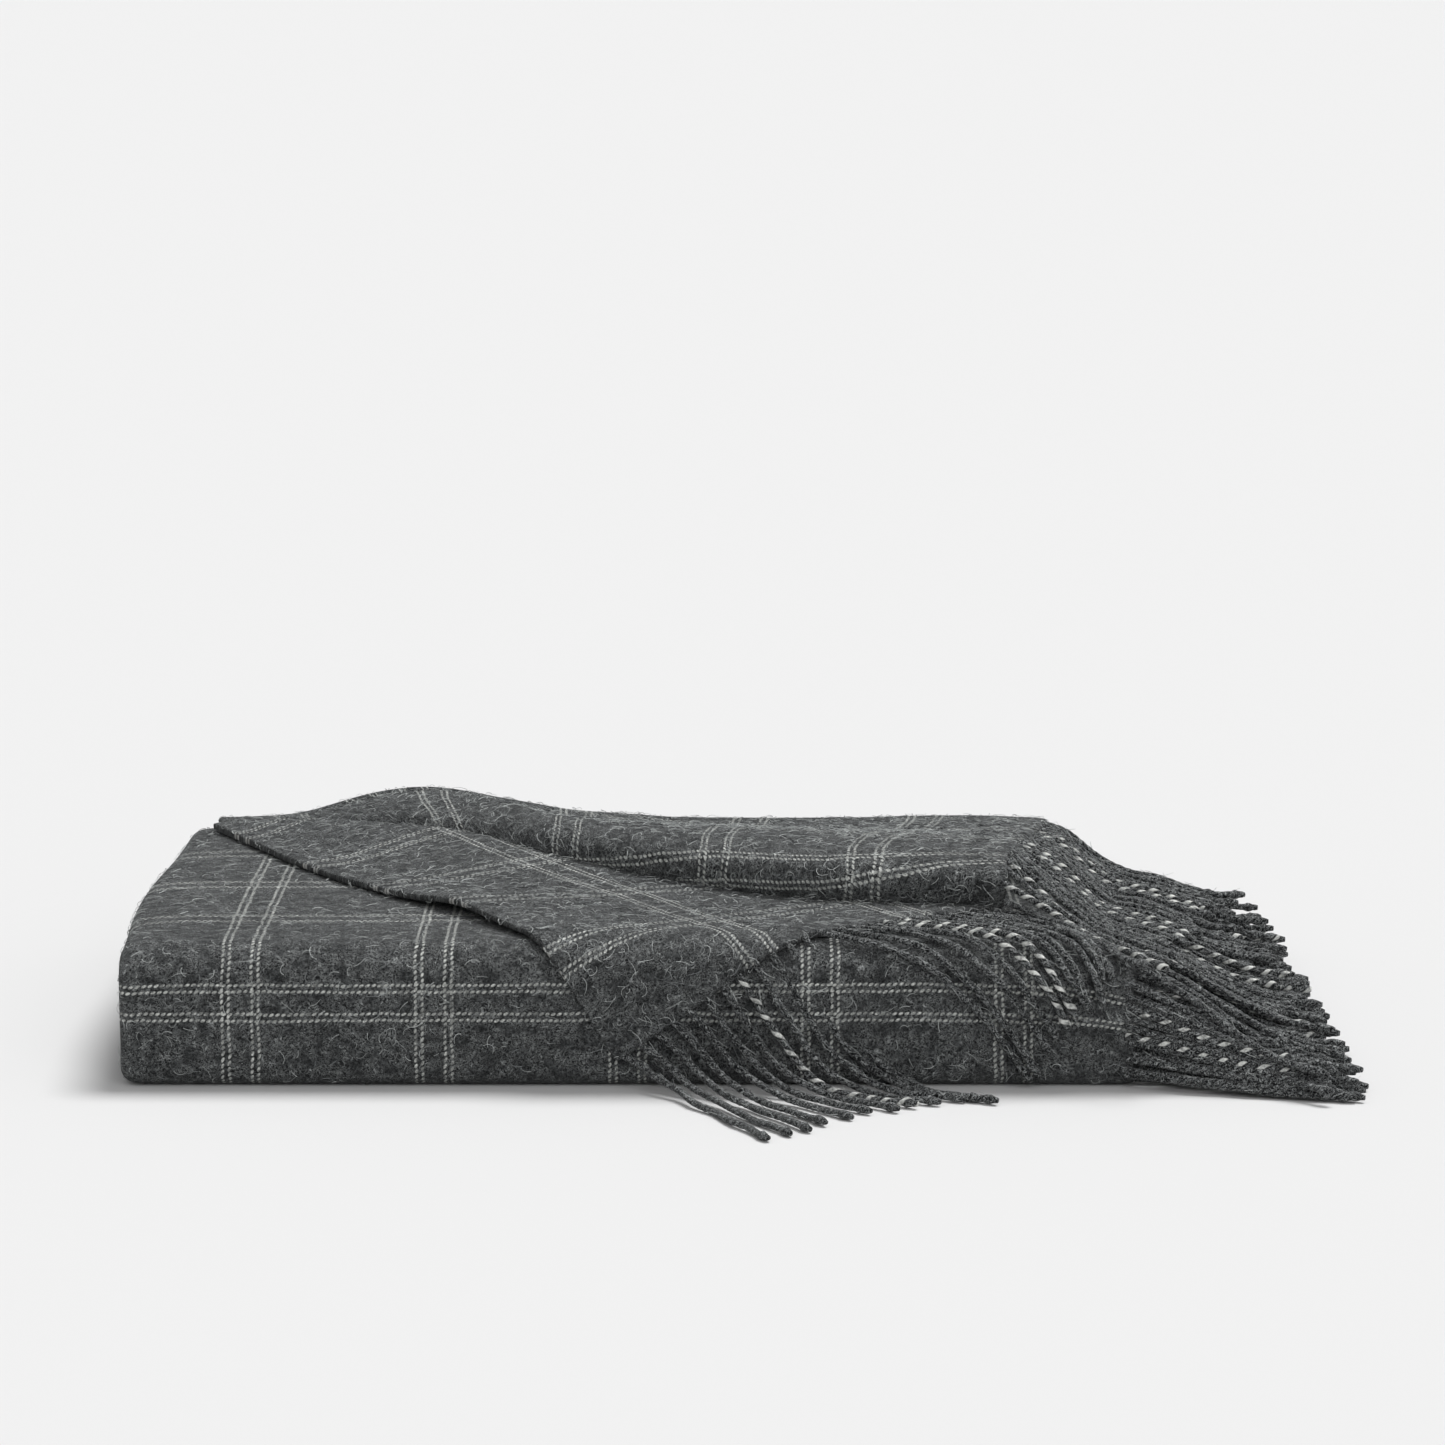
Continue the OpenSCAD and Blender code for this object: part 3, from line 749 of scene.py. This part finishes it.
end_rows = []
for j, (ply, upper) in enumerate(LAYERS):
    store = ([], [], [], [])
    d = (ply + 0.5) * PITCH
    z0 = HEIGHT - d if upper else d
    for i in range(PER_ROW):
        r = random.Random(100 * j + i)
        y = FRONT + 0.005 + (DEPTH - 0.010) * (i + 0.5 + r.uniform(-0.2, 0.2)) / PER_ROW
        back = (y - FRONT) / DEPTH
        root = settle((RIGHT - 0.0012, y, z0))
        reach = REACH + r.uniform(-0.015, 0.010) - 0.014 * (j / 7) * (0.4 + back)
        clump = 0.012 * math.sin(y * 52.0 + j * 1.9) + r.uniform(-0.007, 0.007)
        forward = -0.030 * (1 - back) ** 1.4 + clump
        rest = row_rest(j, back) + r.uniform(0, 0.0014)
        fall = root.z - rest
        bow = r.uniform(-0.0035, 0.0035)
        pts = [root]
        for t in (0.16, 0.34, 0.54, 0.76, 1.0):
            pts.append((root.x + t * reach, y + forward * t ** 1.3 + bow * math.sin(math.pi * t),
                        root.z - fall * step(-0.08, 0.96, t)))
        w = cloth_width[-1] - (BACK - y)
        if not upper:
            w = cloth_width[0] + (BACK - y)
        strand_mesh(store, pts, STRAND, 1000 + 100 * j + i, cream(w, r))
    if j in (7, 6):
        depth, count, foot = WALL[7 - j]
        for i in range(count):
            r = random.Random(900 + 10 * j + i)
            z = foot + (0.0515 - foot) * i / (count - 1) + r.uniform(-0.0015, 0.0015)
            inset = r.uniform(0.002, 0.007) * (1 - depth)
            root = settle((RIGHT - inset - 0.001, FRONT + 0.0008 + depth * PITCH, z))
            tip = Vector((0.309 - 0.006 * depth - 0.002 * i + r.uniform(-0.004, 0.004),
                          -0.1895 + 0.0024 * i + 0.004 * depth,
                          0.0021 + 0.0017 * i + 0.002 * depth))
            fall, out, fwd = root.z - tip.z, tip.x - root.x, tip.y - root.y
            pts = [root]
            for t in (0.18, 0.38, 0.62, 0.82, 1.0):
                pts.append((root.x + out * t, root.y + fwd * t ** 0.75,
                            root.z - fall * step(-0.12, 0.86, t)))
            strand_mesh(store, pts, STRAND, 6000 + 10 * j + i, i in (5, 8) and depth == 0, 72)
    end_rows.append(fringe_object("end_fringe_row_%d" % (j + 1), store))

# front part of the loose end
store = ([], [], [], [])
FRONT_N = 24
TABLE_N = 12  # the first ones reach the table, the others lie on the stack
EDGE_LENGTH = 0.2265  # cloth length of the fringed edge, from selvedge to the foot of the roll
for k in range(FRONT_N):
    a = (k + 0.5) / FRONT_N
    r = random.Random(500 + k)
    e0, e1 = flap(0.0, a), flap(0.006, a)
    out = (e0 - e1).normalized()
    root = e0 - 0.001 * out
    u = EDGE_LENGTH * a
    if k < TABLE_N:
        f = k / (TABLE_N - 1)
        tx = (58 + 103 * f + r.uniform(-3, 3)) * MM
        ty = (-269 + 79 * (1 - (1 - f) ** 1.8) + r.uniform(-4, 5)) * MM
        rest = 0.0018
        dx, dy, dz = tx - root.x, ty - root.y, root.z - rest
        pts = [root, root + Vector((0.15 * dx, -0.0015 + 0.03 * dy, -0.36 * dz)),
               Vector((root.x + 0.33 * dx, root.y - 0.003 + 0.15 * dy, rest + 0.24 * dz)),
               Vector((root.x + 0.60 * dx, root.y + 0.50 * dy, rest + 0.015 * dz)),
               Vector((tx, ty, rest))]
    else:
        f = (k - TABLE_N) / (FRONT_N - TABLE_N - 1)
        s0 = curve(SELVEDGE_S, 0) * (1 - a) + curve(FOOT_S, 0) * a - 0.0016
        x1 = (176 + 38 * f + r.uniform(-2, 2)) * MM
        s1 = (-214 + 56 * f + r.uniform(-4, 4)) * MM
        pts = [root]
        for i in range(1, 9):
            q = i / 8
            bow = 0.010 * math.sin(math.pi * q)
            pts.append(wrap(root.x + (x1 - root.x) * q + bow * 0.7, s0 + (s1 - s0) * q + bow, 0.0024))
        pts = [settle(p) for p in pts]
    strand_mesh(store, pts, STRAND, 3000 + k, is_white(u + EDGE_U), 88)
front_fringe = fringe_object("front_fringe_strands", store)

# rear part of the loose end, leaving the roll
store = ([], [], [], [])
ROLL_N = 27
ROLL_SPACING = 0.0094
RISE_SHARE = 0.12  # share of the roll's end that lies on its front
for k in range(ROLL_N):
    a = (k + 0.4) / ROLL_N
    r = random.Random(700 + k)
    e0 = rise(0.0, a / RISE_SHARE) if a < RISE_SHARE else rear(0.0, (a - RISE_SHARE) / (1 - RISE_SHARE))
    root = settle(e0 + Vector((-0.001, 0, 0)), SHEET_GIVE)
    back = k / (ROLL_N - 1)
    dx = 0.062 + 0.024 * back ** 0.7 + r.uniform(-0.005, 0.005)
    dy = -0.078 * (1 - back) ** 1.3 - 0.016 * back + r.uniform(-0.006, 0.006)
    pts = [root]
    for t in (0.14, 0.30, 0.48, 0.66, 0.84, 1.0):
        x = root.x + dx * t
        y = root.y + dy * t ** 1.15
        on = end_top(x, y) + 0.0021 + r.uniform(0, 0.0012)
        pts.append((x, y, max(on, root.z - (root.z - on) * step(-0.10, 0.50, t))))
    strand_mesh(store, pts, STRAND, 5000 + k, is_white(EDGE_LENGTH + ROLL_SPACING * k + EDGE_U), 80)
roll_fringe = fringe_object("roll_fringe_strands", store)

# ------------------------------------------------------------------ loose fibres
HAIR = 0.00012  # radius at the root
CURL_STEPS = 5
PALE_ON_CLOTH, PALE_ON_YARN = 0.46, 0.30  # share of pale fibres


def hair(store, pts, radius, slot):
    """Adds one closed three-sided fibre that tapers to its tip."""
    verts, faces, slots = store
    base = len(verts)
    n = len(pts)
    for i, p in enumerate(pts):
        t = (pts[min(i + 1, n - 1)] - pts[max(i - 1, 0)]).normalized()
        side = t.cross(Vector((0.31, 0.17, 0.93))).normalized()
        nor = side.cross(t)
        fat = radius * (1.0 - 0.5 * i / (n - 1))
        for k in range(3):
            a = 2 * math.pi * k / 3
            verts.append(p + fat * (side * math.cos(a) + nor * math.sin(a)))
    for i in range(n - 1):
        a, b = base + 3 * i, base + 3 * i + 3
        for k in range(3):
            m = (k + 1) % 3
            faces.append((a + k, a + m, b + m, b + k))
            slots.append(slot)
    faces.append((base + 2, base + 1, base))
    faces.append((base + 3 * n - 3, base + 3 * n - 2, base + 3 * n - 1))
    slots.extend((slot, slot))


def nap_object(name, store):
    """Makes the stored fibres one object with the three nap materials."""
    verts, faces, slots = store
    me = bpy.data.meshes.new(name)
    me.from_pydata([tuple(v) for v in verts], [], faces)
    for m in NAP:
        me.materials.append(m)
    me.polygons.foreach_set("material_index", slots)
    ob = bpy.data.objects.new(name, me)
    bpy.context.scene.collection.objects.link(ob)
    return ob


def shade_slot(r, pale):
    """A random nap material; pale is the share of pale fibres."""
    q = r.random()
    return 0 if q < pale else 1 if q < 0.5 + 0.7 * pale else 2


def cloth_nap(name, ob, count, seed, wanted, cover=None):
    """Curly fibres lying on the faces that wanted(centre, normal) picks, where cover doesn't hide them."""
    r = random.Random(seed)
    me = ob.data
    tree = BVHTree.FromPolygons([v.co for v in me.vertices], [p.vertices for p in me.polygons])
    picked = [p for p in me.polygons if wanted(p.center, p.normal)]
    weights = [p.area for p in picked]
    store = ([], [], [])
    for p in r.choices(picked, weights, k=count):
        n = p.normal
        if cover and cover.ray_cast(p.center + 0.001 * n, n, 0.03)[0]:
            continue
        turn = r.uniform(0, 2 * math.pi)
        side = n.orthogonal().normalized()
        across = n.cross(side)
        length = r.uniform(0.0025, 0.0085)
        bend = r.uniform(-2.6, 2.6)
        wild = r.uniform(-1.5, 1.5)
        high = r.uniform(0.0003, 0.0012)
        at = p.center + side * r.uniform(-0.0015, 0.0015) + across * r.uniform(-0.0015, 0.0015)
        pts = []
        for i in range(CURL_STEPS + 1):
            t = i / CURL_STEPS
            hit, normal, _, _ = tree.find_nearest(at)
            if normal.dot(n) < 0:
                break
            q = hit + normal * (0.0001 + high * math.sin(math.pi * min(1.0, 0.15 + 0.8 * t)))
            q.z = max(q.z, 0.0003)
            pts.append(q)
            turn += (bend + wild * math.sin(5.0 * t)) / CURL_STEPS
            at = hit + (side * math.cos(turn) + across * math.sin(turn)) * (length / CURL_STEPS)
        if len(pts) > 3:
            hair(store, pts, HAIR * r.uniform(0.7, 1.3), shade_slot(r, PALE_ON_CLOTH))
    return nap_object(name, store)


def yarn_nap(name, lines, per_strand, seed):
    """Short stray fibres along twisted strands."""
    r = random.Random(seed)
    store = ([], [], [])
    for pts in lines:
        for _ in range(per_strand):
            i = r.randrange(1, len(pts) - 2)
            along = (pts[i + 1] - pts[i]).normalized()
            side = along.orthogonal().normalized()
            a = r.uniform(0, 2 * math.pi)
            out = side * math.cos(a) + along.cross(side) * math.sin(a)
            if out.z < -0.2:
                out = -out
            p = pts[i] + out * STRAND * 0.85
            drift = along * r.choice((-1, 1)) * r.uniform(0.3, 1.0)
            length = r.uniform(0.0030, 0.0080)
            curl = Vector((r.uniform(-1, 1), r.uniform(-1, 1), r.uniform(-1, 1))) * 0.9
            path = []
            for k in range(4):
                t = k / 3
                bow = out * (0.28 * t - 0.20 * t * t)
                path.append(p + (bow + drift * t + curl * (t * t * 0.35)) * length)
            for q in path:
                q.z = max(q.z, 0.0003)
            hair(store, path, HAIR * r.uniform(0.7, 1.2), shade_slot(r, PALE_ON_YARN))
    return nap_object(name, store)


def stack_outside(c, n):
    """The parts of the stack that can be seen: its front, its left end and its top."""
    front = c.y < FRONT + 0.004 and n.y < -0.5
    left = c.x < -RIGHT + 0.006 and n.x < -0.4
    over = c.z > HEIGHT - 0.020 and n.z > 0.5 and c.z > 0.9 * settle((c.x, c.y, HEIGHT)).z - 0.004
    return front or left or over


def sheet_outside(c, n):
    """The upper and front faces of the loose layer."""
    return n.z > 0.25 or n.y < -0.5


SHOWN_ROWS = (0, 3, 5, 6, 7)
shown_lines = [p for j in SHOWN_ROWS for p in fringe_lines["end_fringe_row_%d" % (j + 1)]]
top_tree = BVHTree.FromPolygons([v.co for v in top.data.vertices], [p.vertices for p in top.data.polygons])
stack_nap = cloth_nap("stack_nap", outer, 8600, 21, stack_outside, top_tree)
top_nap = cloth_nap("top_layer_nap", top, 5900, 22, sheet_outside)
end_nap = yarn_nap("end_fringe_nap", shown_lines, 14, 23)
front_nap = yarn_nap("front_fringe_nap", fringe_lines["front_fringe_strands"], 46, 24)
roll_nap = yarn_nap("roll_fringe_nap", fringe_lines["roll_fringe_strands"], 40, 25)

# ------------------------------------------------------------------ bodies
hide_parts("ply_1", "ply_2", "ply_3", "ply_4")
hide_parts("ply_5", "ply_6", "ply_7", "ply_8")
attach(outer, "folded_stack")
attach(inner, "folded_stack")
for j, ob in enumerate(end_rows):
    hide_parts("end_fringe_%d" % (j + 1))
    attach(ob, "folded_stack")
for ob in (stack_nap, end_nap):
    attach(ob, "folded_stack")
for ob, node in ((top, "top_sheet"), (front_fringe, "front_fringe"), (roll_fringe, "roll_fringe")):
    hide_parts(node)
for ob in (top, front_fringe, roll_fringe, top_nap, front_nap, roll_nap):
    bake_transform(ob)
